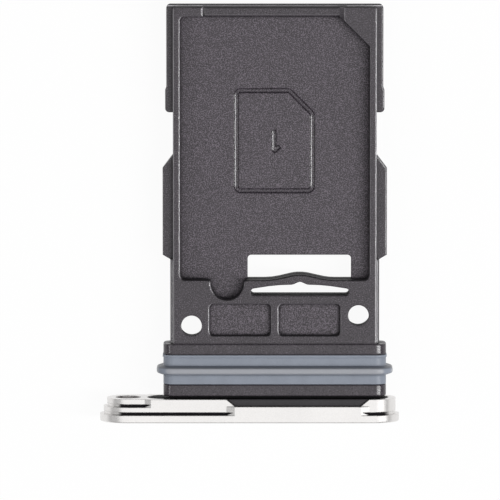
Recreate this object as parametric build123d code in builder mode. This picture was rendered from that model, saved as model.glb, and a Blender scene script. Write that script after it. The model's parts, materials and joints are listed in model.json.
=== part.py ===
"""SIM card tray: a machined end cap, a moulded two-sided card carrier and a silicone seal.

The origin is the middle of the cap's outer face. +Y is the way the tray is pushed in,
+X runs along the cap away from the eject pinhole, and +Z is up out of the upper pocket.
"""
import os

from build123d import *

# Card that each pocket holds, with its clearances
card_width = 8.8
card_length = 12.3
card_thickness = 0.67
card_side_clearance = 0.035
card_end_clearance = 0.02
card_depth_clearance = 0.03

# Pocket
pocket_corner_cut = 1.39
pocket_cut_radius = 0.1
pocket_far_radius = 0.19
pocket_near_radius = 0.26
web_thickness = 0.3
rail_width = 0.33
end_wall = 0.46
end_lip = 0.1
frame_corner = 0.15
rim_break = 0.05

# Lowered part of the end wall
ledge_left_inset = 1.06
ledge_right_inset = 1.19
ledge_drop = 0.26
ledge_left_slope = 0.08
ledge_right_slope = 0.23
ledge_inner_chamfer = 0.1

# Finger notch at the near end of the pocket
notch_offset = -2.23
notch_radius = 0.78
notch_mouth_radius = 0.15

# Spring strip between the window in the floor and the slot behind it
spring_offset = 1.18
window_width = 4.85
window_shift = -0.025
window_reach = 1.13
window_radius = 0.17
spring_thickness = 0.39
strip_bow = 0.25
strip_bow_half = 1.64
slot_end_inset = 0.115
slot_height = 0.345
slot_arch = 0.17
slot_peak = 0.14
slot_peak_half = 0.45

# Deck between the pocket and the neck
deck_length = 3.01
strip_reach = 0.135
strip_drop = 0.275
strip_radius = 0.15
recess_width = 2.88
recess_length = 1.48
recess_spacing = 3.25
recess_from_pocket = 1.13
recess_depth = 0.28
recess_radius = 0.2
locating_hole_diameter = 0.96
locating_hole_draft = 3
left_hole_from_side = 0.865
left_hole_from_pocket = 2.15
right_hole_from_side = 0.845
right_hole_from_pocket = 1.66

# Guide ears along both sides
ear_thickness = 0.8
ear_edge_break = 0.06
near_ear_reach = 0.355
near_ear_from_pocket = 0.94
near_ear_length = 4.93
near_ear_near_ramp = 0.21
near_ear_far_ramp = 0.65
far_ear_reach = 0.31
far_ear_length = 5.06
far_ear_corner = 0.19
far_ear_bulge_reach = 0.055
far_ear_bulge_length = 1.05
far_ear_bulge_ramp = 0.15

# Neck that carries the seal
neck_reach = 0.325
neck_rise = 0.07
neck_radius = 0.5
neck_edge_break = 0.05
near_collar = 0.55
far_collar = 0.51
neck_gap = 0.13
waist_side_room = 0.415
waist_room = 0.285

# Seal
seal_band = 1.4
seal_wall = 0.3
seal_clearance = 0.01
bead_height = 0.315
bead_root = 0.46
bead_tip = 0.24
bead_tip_radius = 0.1
bead_offset = -0.04

# End cap
cap_length = 14.06
cap_height = 2.64
cap_depth = 1.1
cap_floor = 0.77
cap_step = 0.165
cap_edge_break = 0.06
flange_thickness = 0.36
shelf_reach = 0.72
boss_ramp = 0.3
boss_overlap = 0.2
relief_width = 0.135
relief_depth = 0.13
relief_end_depth = 0.02
land_runout = 0.32
land_start = -0.69
land_end = 5.22
land_ramp = 0.4
recess_wall = 0.32
pinhole_diameter = 1.2
pinhole_wall = 0.29
pinhole_edge_break = 0.04

# Joint between the cap and the carrier's foot
bond_gap = 0.02
foot_setback = 0.03
tongue_sink = 0.12

# The carrier's centre line lies to the right of the cap's
tray_shift = 1.18

# Places that follow from the sizes above
pocket_width = card_width + 2 * card_side_clearance
pocket_length = card_length + 2 * card_end_clearance
pocket_depth = card_thickness + card_depth_clearance
tray_thickness = 2 * pocket_depth + web_thickness
frame_width = pocket_width + 2 * rail_width
half_thickness = tray_thickness / 2
strip_width = frame_width + 2 * strip_reach
strip_height = tray_thickness - 2 * strip_drop
near_ear_width = strip_width + 2 * near_ear_reach
far_ear_width = frame_width + 2 * far_ear_reach
far_ear_bulge_width = far_ear_width + 2 * far_ear_bulge_reach
neck_width = strip_width + 2 * neck_reach
neck_height = tray_thickness + 2 * neck_rise

ledge_left = ledge_left_inset - pocket_width / 2
ledge_right = pocket_width / 2 - ledge_right_inset
slot_width = window_width - 2 * slot_end_inset
left_hole_x = left_hole_from_side - frame_width / 2
right_hole_x = frame_width / 2 - right_hole_from_side

neck_start = cap_depth + neck_gap
seat_start = neck_start + near_collar
seat_end = seat_start + seal_band
neck_end = seat_end + far_collar
pocket_start = neck_end + deck_length
pocket_end = pocket_start + pocket_length
frame_end = pocket_end + end_wall
tray_end = frame_end + end_lip
near_ear_start = pocket_start + near_ear_from_pocket
near_ear_end = near_ear_start + near_ear_length
far_ear_start = tray_end - far_ear_length

step_length = cap_length - 2 * cap_step
step_height = cap_height - 2 * cap_step
boss_length = step_length - 2 * cap_step
boss_height = step_height - 2 * cap_step
pinhole_x = -(cap_length - cap_height) / 2
recess_start = pinhole_x + pinhole_diameter / 2 + pinhole_wall
boss_ramp_end = recess_start + boss_overlap
boss_ramp_start = boss_ramp_end - boss_ramp
recess_end = step_length / 2 - recess_wall
cap_recess_length = recess_end - recess_start
cap_recess_height = step_height - 2 * recess_wall
cap_recess_x = (recess_end + recess_start) / 2
waist_width = 2 * (recess_end - tray_shift - waist_side_room)
waist_height = cap_recess_height - 2 * waist_room

core_width = neck_width - 2 * seal_wall
core_height = neck_height - 2 * seal_wall
core_radius = neck_radius - seal_wall


def cap_section(y):
    """Plane across the cap at depth y, X to the right and Z up."""
    return Plane(origin=(0, y, 0), x_dir=(1, 0, 0), z_dir=(0, -1, 0))


def tray_section(y):
    """Plane across the carrier at depth y, centred on its centre line."""
    return Plane(origin=(tray_shift, y, 0), x_dir=(1, 0, 0), z_dir=(0, -1, 0))


def stepped_pill(boss_section_length, boss_section_height):
    """Draws the cap's second level with a smaller pill in place of its left end."""
    step_top = step_height / 2
    boss_top = boss_height / 2
    SlotOverall(step_length, step_height)
    Polygon(
        (boss_ramp_start, -boss_top),
        (boss_ramp_start, boss_top),
        (boss_ramp_end, step_top),
        (step_length / 2, step_top),
        (step_length / 2, -step_top),
        (boss_ramp_end, -step_top),
        align=None,
        mode=Mode.INTERSECT,
    )
    SlotOverall(boss_section_length, boss_section_height)


def tongue_outline(inset):
    """Draws the plan of the gap in the cap's upper wall, drawn in by inset."""
    Polygon(
        (land_start + inset, cap_floor),
        (land_end - inset, cap_floor),
        (land_end + land_ramp - inset, cap_depth),
        (land_start - land_ramp + inset, cap_depth),
        align=None,
    )


def relief_runout(start, tip, y):
    """Draws the pointed end of a relief that begins at depth y, from its full width to its tip."""
    Polygon((start, y), (tip, y + relief_width), (start, y + relief_width), align=None)


with BuildPart() as front_cap:
    # Flange with full-round ends, and the relief behind it
    with BuildSketch(cap_section(0)):
        SlotOverall(cap_length, cap_height)
    extrude(amount=-flange_thickness)
    fillet(front_cap.faces().sort_by(Axis.Y)[0].edges(), cap_edge_break)
    with BuildSketch(cap_section(flange_thickness)):
        SlotOverall(step_length - 2 * relief_end_depth, step_height - 2 * relief_depth)
    extrude(amount=-relief_width)

    # Second level, then the boss round the pinhole with a relief of its own
    with BuildSketch(cap_section(flange_thickness + relief_width)):
        SlotOverall(step_length, step_height)
    extrude(amount=flange_thickness + relief_width - shelf_reach)
    with BuildSketch(cap_section(shelf_reach)):
        stepped_pill(boss_length - 2 * relief_end_depth, boss_height - 2 * relief_depth)
    extrude(amount=-relief_width)
    with BuildSketch(cap_section(shelf_reach + relief_width)):
        stepped_pill(boss_length, boss_height)
    extrude(amount=shelf_reach + relief_width - cap_depth)

    # Land on the upper side, flush with the flange
    with BuildSketch(cap_section(flange_thickness)):
        with BuildLine():
            Polyline(
                (land_start - land_ramp, 0),
                (land_start - land_ramp, step_height / 2),
                (land_start, cap_height / 2),
                (land_end, cap_height / 2),
                (land_end + land_ramp, step_height / 2),
                (land_end + land_ramp, 0),
                close=True,
            )
        make_face()
    extrude(amount=flange_thickness - cap_floor)

    # Reliefs run out in a point where they meet the land and the boss's ramp
    with BuildSketch(Plane.XY.offset(step_height / 2 - relief_depth)):
        left_start = land_start - land_ramp
        right_start = land_end + land_ramp
        relief_runout(left_start, left_start + land_runout, flange_thickness)
        relief_runout(right_start, right_start - land_runout, flange_thickness)
    extrude(amount=cap_height, mode=Mode.SUBTRACT)
    for side in (1, -1):
        relief_floor = side * (boss_height / 2 - relief_depth)
        with BuildSketch(Plane.XY.offset(relief_floor)):
            relief_runout(boss_ramp_start, boss_ramp_end, shelf_reach)
        extrude(amount=side * cap_height, mode=Mode.SUBTRACT)

    # Recess for the carrier's foot, open through the upper wall behind the land
    with BuildSketch(cap_section(cap_depth)):
        with Locations((cap_recess_x, 0)):
            SlotOverall(cap_recess_length, cap_recess_height)
    extrude(amount=cap_depth - cap_floor, mode=Mode.SUBTRACT)
    with BuildSketch(Plane.XY):
        tongue_outline(0)
    extrude(amount=cap_height / 2, mode=Mode.SUBTRACT)

    # Eject pinhole, with a broken edge at the outer face
    with BuildSketch(cap_section(0)):
        with Locations((pinhole_x, 0)):
            Circle(pinhole_diameter / 2)
    extrude(amount=-cap_depth, mode=Mode.SUBTRACT)
    chamfer(front_cap.faces().sort_by(Axis.Y)[0].inner_wires().edges(), pinhole_edge_break)

with BuildPart() as tray:
    plan = Plane(origin=(tray_shift, 0, 0))

    # Frame with a side strip along the deck
    with BuildSketch(plan) as frame:
        with Locations((0, neck_end)):
            Rectangle(frame_width, frame_end - neck_end, align=(Align.CENTER, Align.MIN))
        fillet(frame.vertices().group_by(Axis.Y)[-1], frame_corner)
    extrude(amount=half_thickness, both=True)
    with BuildSketch(tray_section(neck_end)):
        RectangleRounded(strip_width, strip_height, strip_radius)
    extrude(amount=neck_end - near_ear_start)

    # Guide ears at mid-height; the far pair runs on as a lip along the far end
    with BuildSketch(plan):
        with BuildLine():
            Polyline(
                (0, near_ear_start),
                (strip_width / 2, near_ear_start),
                (near_ear_width / 2, near_ear_start + near_ear_near_ramp),
                (near_ear_width / 2, near_ear_end - near_ear_far_ramp),
                (frame_width / 2, near_ear_end),
                (0, near_ear_end),
                close=True,
            )
        make_face()
        with BuildLine():
            FilletPolyline(
                (0, far_ear_start),
                (far_ear_bulge_width / 2, far_ear_start),
                (far_ear_bulge_width / 2, far_ear_start + far_ear_bulge_length),
                (far_ear_width / 2, far_ear_start + far_ear_bulge_length + far_ear_bulge_ramp),
                (far_ear_width / 2, tray_end),
                (0, tray_end),
                radius=(0, far_ear_corner, 0, 0, far_ear_corner, 0),
                close=True,
            )
        make_face()
        mirror(about=Plane.YZ)
    extrude(amount=ear_thickness / 2, both=True)
    ear_faces = tray.faces(Select.LAST).filter_by(Axis.Z)
    ear_edges = [
        edge
        for edge in ear_faces.edges()
        if abs(edge.center().X - tray_shift) > strip_width / 2
        or edge.center().Y > (frame_end + tray_end) / 2
    ]
    chamfer(ear_edges, ear_edge_break)

    # Each face has a card pocket; seen from its own side, both have the cut corner on the right
    for side in (1, -1):
        face = Plane(origin=(tray_shift, 0, side * half_thickness), x_dir=(side, 0, 0), z_dir=(0, 0, side))
        with BuildSketch(face):
            with BuildLine():
                FilletPolyline(
                    (-pocket_width / 2, pocket_start),
                    (pocket_width / 2, pocket_start),
                    (pocket_width / 2, pocket_end - pocket_corner_cut),
                    (pocket_width / 2 - pocket_corner_cut, pocket_end),
                    (-pocket_width / 2, pocket_end),
                    radius=(
                        pocket_near_radius,
                        pocket_near_radius,
                        pocket_cut_radius,
                        pocket_cut_radius,
                        pocket_far_radius,
                    ),
                    close=True,
                )
            make_face()
        extrude(amount=-pocket_depth, mode=Mode.SUBTRACT)

        # Finger notch, at the same place in plan on both faces
        notch_x = side * notch_offset
        notch_mouth = notch_radius + notch_mouth_radius
        notch_centre = pocket_start - notch_mouth_radius
        with BuildSketch(face):
            with BuildLine():
                Line((notch_x - notch_mouth, pocket_start), (notch_x + notch_mouth, pocket_start))
                RadiusArc(
                    (notch_x + notch_mouth, pocket_start),
                    (notch_x + notch_radius, notch_centre),
                    -notch_mouth_radius,
                )
                ThreePointArc(
                    (notch_x + notch_radius, notch_centre),
                    (notch_x, notch_centre - notch_radius),
                    (notch_x - notch_radius, notch_centre),
                )
                RadiusArc(
                    (notch_x - notch_radius, notch_centre),
                    (notch_x - notch_mouth, pocket_start),
                    -notch_mouth_radius,
                )
            make_face()
        extrude(amount=-pocket_depth, mode=Mode.SUBTRACT)

        # Shallow recesses in the deck
        with BuildSketch(face):
            with Locations((0, pocket_start - recess_from_pocket - recess_length / 2)):
                with GridLocations(recess_spacing, 0, 2, 1):
                    RectangleRounded(recess_width, recess_length, recess_radius)
        extrude(amount=-recess_depth, mode=Mode.SUBTRACT)

        # Lowered end wall with sloped ends
        end_section = Plane(origin=(tray_shift, frame_end, 0), x_dir=(side, 0, 0), z_dir=(0, -1, 0))
        ledge_level = half_thickness - ledge_drop
        with BuildSketch(end_section):
            Polygon(
                (ledge_left, half_thickness),
                (ledge_left + ledge_left_slope, ledge_level),
                (ledge_right - ledge_right_slope, ledge_level),
                (ledge_right, half_thickness),
                align=None,
            )
        extrude(amount=end_wall + pocket_corner_cut, mode=Mode.SUBTRACT)
        chamfer_start = ledge_left + ledge_left_slope
        chamfer_end = ledge_right - ledge_right_slope
        chamfer_origin = (tray_shift + side * chamfer_start, 0, 0)
        with BuildSketch(Plane(origin=chamfer_origin, x_dir=(0, 1, 0), z_dir=(side, 0, 0))):
            Polygon(
                (pocket_end, ledge_level),
                (pocket_end + ledge_inner_chamfer, ledge_level),
                (pocket_end, ledge_level - ledge_inner_chamfer),
                align=None,
            )
        extrude(amount=chamfer_end - chamfer_start, mode=Mode.SUBTRACT)
        ledge_rim = tray.edges().sort_by_distance((tray_shift, frame_end, side * ledge_level))[0]
        chamfer(ledge_rim, rim_break)

    # Window in the floor, then the spring strip that bows into it
    window_left = spring_offset + window_shift - window_width / 2
    window_right = window_left + window_width
    with BuildSketch(plan):
        with BuildLine():
            FilletPolyline(
                (window_left, pocket_start),
                (window_right, pocket_start),
                (window_right, pocket_start + window_reach),
                (window_left, pocket_start + window_reach),
                radius=(0, 0, window_radius, window_radius),
                close=True,
            )
        make_face()
    extrude(amount=half_thickness, both=True, mode=Mode.SUBTRACT)
    with BuildSketch(plan):
        with BuildLine():
            Line(
                (spring_offset - strip_bow_half, pocket_start),
                (spring_offset + strip_bow_half, pocket_start),
            )
            Spline(
                (spring_offset + strip_bow_half, pocket_start),
                (spring_offset, pocket_start + strip_bow),
                (spring_offset - strip_bow_half, pocket_start),
                tangents=((-1, 0), (-1, 0), (-1, 0)),
            )
        make_face()
    extrude(amount=half_thickness, both=True)

    # Broken rims on both faces, but not where the frame meets the neck
    for level in (0, -1):
        rim = tray.edges().group_by(Axis.Z)[level]
        chamfer(rim.sort_by(Axis.Y)[1:], rim_break)

    # Slot behind the strip, arched towards it with a small peak in the middle
    slot_top = pocket_start - spring_thickness
    slot_bottom = slot_top - slot_height
    slot_straight = (slot_width - slot_height) / 2
    peak = (spring_offset, slot_top + slot_arch + slot_peak)
    with BuildSketch(plan):
        with BuildLine():
            Line((spring_offset, slot_bottom), (spring_offset + slot_straight, slot_bottom))
            ThreePointArc(
                (spring_offset + slot_straight, slot_bottom),
                (spring_offset + slot_width / 2, (slot_top + slot_bottom) / 2),
                (spring_offset + slot_straight, slot_top),
            )
            Spline(
                (spring_offset + slot_straight, slot_top),
                (spring_offset + slot_peak_half, slot_top + slot_arch),
                tangents=((-1, slot_arch), (-1, 0)),
            )
            Spline(
                (spring_offset + slot_peak_half, slot_top + slot_arch),
                peak,
                tangents=((-1, 0), (-1, slot_peak)),
            )
            Line(peak, (spring_offset, slot_bottom))
        make_face()
        mirror(about=Plane((spring_offset, 0, 0), x_dir=(0, 1, 0), z_dir=(1, 0, 0)))
    extrude(amount=half_thickness, both=True, mode=Mode.SUBTRACT)

    # Locating holes of the moulding, left by pins that taper towards the upper face
    with BuildSketch(plan.offset(half_thickness)):
        with Locations(
            (left_hole_x, pocket_start - left_hole_from_pocket),
            (right_hole_x, pocket_start - right_hole_from_pocket),
        ):
            Circle(locating_hole_diameter / 2)
    extrude(amount=-tray_thickness, taper=-locating_hole_draft, mode=Mode.SUBTRACT)

    # Neck: two collars with broken edges, and the seal's seat between them
    for start, end in ((neck_start, seat_start), (seat_end, neck_end)):
        with BuildSketch(tray_section(start)):
            RectangleRounded(neck_width, neck_height, neck_radius)
        extrude(amount=start - end)
        collar_ends = tray.faces(Select.LAST).filter_by(Axis.Y)
        chamfer([edge for face in collar_ends for edge in face.outer_wire().edges()], neck_edge_break)
    with BuildSketch(tray_section(seat_start)):
        RectangleRounded(core_width, core_height, core_radius)
    extrude(amount=seat_start - seat_end)

    # Waist and foot, with the tongue that fills the gap in the cap's wall
    foot_top = cap_depth - foot_setback
    with BuildSketch(tray_section(foot_top)):
        Rectangle(waist_width, waist_height)
    extrude(amount=foot_top - neck_start)
    with BuildSketch(cap_section(cap_floor)):
        with Locations((cap_recess_x, 0)):
            SlotOverall(cap_recess_length - 2 * bond_gap, cap_recess_height - 2 * bond_gap)
    extrude(amount=cap_floor - foot_top)
    with BuildSketch(Plane.XY):
        tongue_outline(bond_gap)
    extrude(amount=step_height / 2 - tongue_sink)

with BuildPart() as seal:
    # Band that lies flush between the collars
    with BuildSketch(tray_section(seat_start + seal_clearance)):
        RectangleRounded(neck_width, neck_height, neck_radius)
        RectangleRounded(
            core_width + 2 * seal_clearance,
            core_height + 2 * seal_clearance,
            core_radius + seal_clearance,
            mode=Mode.SUBTRACT,
        )
    extrude(amount=2 * seal_clearance - seal_band)

    # Tapered bead, swept round the band
    bead_middle = (seat_start + seat_end) / 2 + bead_offset
    with BuildLine(tray_section(bead_middle)) as bead_path:
        FilletPolyline(
            (neck_width / 2, 0),
            (neck_width / 2, neck_height / 2),
            (-neck_width / 2, neck_height / 2),
            (-neck_width / 2, -neck_height / 2),
            (neck_width / 2, -neck_height / 2),
            radius=(0, neck_radius, neck_radius, neck_radius, neck_radius),
            close=True,
        )
    with BuildSketch(Plane(origin=(tray_shift + neck_width / 2, bead_middle, 0))) as bead_profile:
        with BuildLine():
            FilletPolyline(
                (-seal_wall / 2, -bead_root / 2),
                (0, -bead_root / 2),
                (bead_height, -bead_tip / 2),
                (bead_height, bead_tip / 2),
                (0, bead_root / 2),
                (-seal_wall / 2, bead_root / 2),
                radius=(0, 0, bead_tip_radius, bead_tip_radius, 0, 0),
                close=True,
            )
        make_face()
    sweep(bead_profile.sketch, path=bead_path.wire())

front_cap.part.label = "front_cap"
tray.part.label = "tray"
seal.part.label = "seal"

os.makedirs("parts", exist_ok=True)
export_step(front_cap.part, "parts/front_cap.step")
export_step(tray.part, "parts/tray.step")
export_step(seal.part, "parts/seal.step")
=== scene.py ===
"""SIM card tray: the finish of its carrier, seal and end cap, and a plain white stage.

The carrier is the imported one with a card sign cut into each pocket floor. The seal is swept round the
neck from its section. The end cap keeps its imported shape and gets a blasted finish.
"""
import json
import math

import bmesh
import bpy
from mathutils import Matrix, Vector

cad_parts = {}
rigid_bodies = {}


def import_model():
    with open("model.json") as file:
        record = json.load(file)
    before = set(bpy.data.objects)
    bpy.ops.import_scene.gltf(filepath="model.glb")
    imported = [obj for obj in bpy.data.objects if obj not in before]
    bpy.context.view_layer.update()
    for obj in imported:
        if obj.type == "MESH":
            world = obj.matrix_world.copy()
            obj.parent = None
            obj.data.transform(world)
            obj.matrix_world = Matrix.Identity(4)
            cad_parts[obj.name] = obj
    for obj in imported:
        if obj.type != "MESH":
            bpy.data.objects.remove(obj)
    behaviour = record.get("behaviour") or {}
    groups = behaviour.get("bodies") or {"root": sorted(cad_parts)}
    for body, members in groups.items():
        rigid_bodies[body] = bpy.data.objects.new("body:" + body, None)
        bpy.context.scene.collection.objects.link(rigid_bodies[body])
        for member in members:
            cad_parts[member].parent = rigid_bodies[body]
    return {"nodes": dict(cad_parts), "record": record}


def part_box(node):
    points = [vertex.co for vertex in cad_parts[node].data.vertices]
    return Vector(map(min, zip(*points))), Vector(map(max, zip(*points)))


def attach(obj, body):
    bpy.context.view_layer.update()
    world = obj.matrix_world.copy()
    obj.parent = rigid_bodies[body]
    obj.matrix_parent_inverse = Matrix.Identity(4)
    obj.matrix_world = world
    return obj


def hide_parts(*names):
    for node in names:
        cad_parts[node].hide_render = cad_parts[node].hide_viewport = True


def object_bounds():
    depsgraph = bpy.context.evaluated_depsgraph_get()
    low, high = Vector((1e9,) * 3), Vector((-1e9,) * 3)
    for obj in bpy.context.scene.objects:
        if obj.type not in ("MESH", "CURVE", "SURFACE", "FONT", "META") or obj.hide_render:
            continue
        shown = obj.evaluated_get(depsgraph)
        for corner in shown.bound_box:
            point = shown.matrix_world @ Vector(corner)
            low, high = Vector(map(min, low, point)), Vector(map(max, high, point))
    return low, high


bl_info = {
    "name": "SIM Card Tray Finish",
    "version": (1, 0, 0),
    "blender": (4, 5, 0),
    "location": "View3D > Sidebar > SIM Tray",
    "description": "Finishes the packed SIM card tray and sets its stage",
    "category": "Object",
}

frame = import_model()
cad_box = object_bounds()

MM = 0.001
MM_PER_METRE = 1000.0
BODY = "root"

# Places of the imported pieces
seal_low, seal_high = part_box("seal")
mount_places = {mount["name"]: Vector(mount["pos_m"]) for mount in frame["record"]["mounts"]}
centre_line = (seal_low.x + seal_high.x) / 2
seal_middle = (seal_low.y + seal_high.y) / 2
pocket_floor = mount_places["upper_pocket_floor"].z
ground = cad_box[0].z

# Fades from one zone of a finish to the next, in millimetres
HAIR = 0.004
CRISP = 0.01
CLOSE = 0.02
SOFT = 0.05
BROAD = 0.2
WIDE = 0.3

# Shares of a face's normal along an axis: where it starts to count as turned that way, and where it does
TURNED = (0.3, 0.6)
BEAD_WALL = (0.4, 0.9)
# Share of the normal that points up or down on a chamfer, which is neither a wall nor a floor
CHAMFER = (0.25, 0.985)
CHAMFER_FADE = 0.01
# Share of open sky where an inner corner is fully dark, and where it is clear
CORNER_SKY = (0.3, 0.95)
# Depths below the pocket floor, in millimetres, where a groove of the sign is sunk, and where it starts
SUNK = (0.006, 0.001)

# Places of the carrier's finish in millimetres: along the tray from the cap's face, from the centre line
# for half widths, and from mid-height for levels
FOOT_END = 1.22
COLLAR_EDGE = (3.0, 3.2)
NECK_END = 3.7
RECESS_END = 5.5
FRAME_END = 19.5
INNER_HALF_WIDTH = 4.7
RAIL_HALF_WIDTH = 4.6
POST_HALF_WIDTH = 3.36
LIP_LEVEL = 0.4
RIM_LEVEL = 0.5
RECESS_LEVEL = 0.57
LEDGE_LEVEL = 0.59
CREST_LEVEL = 0.8
FOOT_TOP = 0.9
# Start and end of the painted shade line on the ledge and of the painted highlight line on the lip, from the
# frame's end
LEDGE_SHADE_LINE = (-0.08, 0.005)
LIP_HIGHLIGHT = (0.013, 0.053)
# Where the bead has ended, from the middle of the seal's band, and how far below its tip the painted sheen
# reaches
BEAD_END = 0.3
SHEEN_DEPTH = 0.14
# Places of the cap's painted shade in millimetres: start and end from its face, left and right end, height
# reached
LOWER_GROOVE = (0.345, 0.5)
LOWER_GROOVE_SPAN = (-5.95, 6.3)
LOWER_GROOVE_TOP = 1.13
UPPER_GROOVE = (0.705, 0.86)
UPPER_GROOVE_SPAN = (-6.0, -4.6)
UPPER_GROOVE_TOP = 0.965
FLANGE_WALL = (0.35, 0.37)
FLANGE_LEFT_SPAN = (-6.0, -1.05)
FLANGE_RIGHT_SPAN = (5.55, 6.3)
FLANGE_TOP = 1.29

# Speckle of each part of the carrier, the frame's and the floors' on top of the neck's
NECK_SPECKLE = 0.18
FRAME_SPECKLE = 0.17
FLOOR_SPECKLE = 0.65
# Middle tone of each part, from the dark grains to the light ones
NECK_TONE = 0.22
FRAME_TONE = 0.17
FLOOR_TONE = 0.24
# Strength of the shade in corners, on walls and at the far end, and what the foot's top loses of it
CORNER_SHADE = 0.85
NECK_SHADE = 0.4
WALL_SHADE = 0.8
FAR_SHADE = 0.75
FOOT_LIGHT = 0.4
BEAD_CORNER_SHADE = 0.85
BEAD_WALL_SHADE = 0.55

# Middle of a noise's values, and the fineness of a grain's noise
HALF = 0.5
GRAIN_FINENESS = 0.6
# Sizes of glints and of clouds in grains, and the noise values between which a glint appears
GLINT_SIZE = 0.9
GLINT_RANGE = (0.56, 0.74)
PLASTIC_CLOUD = 30
METAL_CLOUD = 40
# How far grains and clouds change the metal's tone
METAL_GRAIN_CONTRAST = 1.8
METAL_CLOUD_CONTRAST = 0.7
# Share of the clouds in the silicone's mottle, the rest being its skin, and the values that it spans
CLOUD_SHARE = 0.7
MOTTLE_RANGE = (0.3, 0.7)
# How unevenly the painted sheen on the bead's tip is spread
SHEEN_SPREAD = 0.5

# Share of a painted highlight line's strength where it is faint, and of the painted highlight on the
# collar's edge
FAINT = 0.4
COLLAR_HIGHLIGHT = 0.7
# What the lower half of an edge that faces right loses of its painted highlight, and the painted shade on
# edges that face away
LOWER_EDGE_LOSS = 0.7
EDGE_SHADE = 0.7
# Share of an edge's gloss that the neck's edges have
NECK_GLOSS = 0.5
# Share of the grain's height on smooth faces, and how far glints stand above the grain
SMOOTH_GRAIN = 0.25
GLINT_HEIGHT = 0.4

# How far each thing changes the roughness
PLASTIC_GRAIN_ROUGHNESS = 0.2
SHADE_ROUGHNESS = 0.5
SKIN_ROUGHNESS = 0.12
TIP_POLISH = 0.08
METAL_GRAIN_ROUGHNESS = 0.1
GROOVE_ROUGHNESS = 0.3

BEVEL_SAMPLES = 6
CORNER_SAMPLES = 8
PLASTIC_IOR = 1.5
SILICONE_IOR = 1.41

# Points closer than this are one, in millimetres
MERGE_DISTANCE = 0.0001
# Faces that differ less than this in their tilt are one flat face
FLAT_ANGLE = math.radians(0.3)
# Faces that differ less than this in area, in square millimetres, weigh the same in the shading
AREA_SLACK = 0.002
# Weight of large faces over small ones in the shading, 50 being none
FACE_WEIGHT = 100
CARRIER_SHARP_ANGLE = math.radians(46.5)
SEAL_SHARP_ANGLE = math.radians(40)
# Steps in each rounded corner
SIGN_STEPS = 6
GROOVE_STEPS = 4
SECTION_STEPS = 5
NECK_STEPS = 12
# Height of a groove's mouth above the floor that it is cut in, in millimetres, and its margin in shoulders
GROOVE_CLEARANCE = 0.004
GROOVE_MARGIN = 1.5

# Pen strokes of the pockets' numbers: x, y and corner radius as shares of half the number's height
DIGIT_STROKES = {
    "1": ((-0.5, 0.5, 0.0), (0.04, 1.0, 0.06), (0.04, -1.0, 0.0)),
    "2": ((-0.6, 0.45, 0.0), (-0.6, 1.0, 0.5), (0.6, 1.0, 0.5), (0.6, 0.1, 0.4), (-0.6, -1.0, 0.06),
          (0.6, -1.0, 0.0)),
}

# Soft lights: place, width and length in metres, brightness, and the group that they light, or None for all
SOFTBOXES = {
    "overhead": ((-0.02, -0.08, 0.42), (0.55, 0.46), 0.95, None),
    "right_strip": ((0.235, -0.021, 0.324), (0.045, 0.27), 23.0, "dark"),
    "left_strip": ((-0.302, -0.021, 0.262), (0.05, 0.1), 8.0, "dark"),
    "right_card": ((0.306, -0.021, 0.257), (0.16, 0.27), 1.5, "metal"),
    "left_card": ((-0.315, -0.021, 0.246), (0.1, 0.27), 0.55, "metal"),
}
# Upward share of a direction where the light of the sides ends, and where that from above is reached
SKY_RISE = (0.1, 0.45)
SENSOR_WIDTH = 36.0


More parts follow.
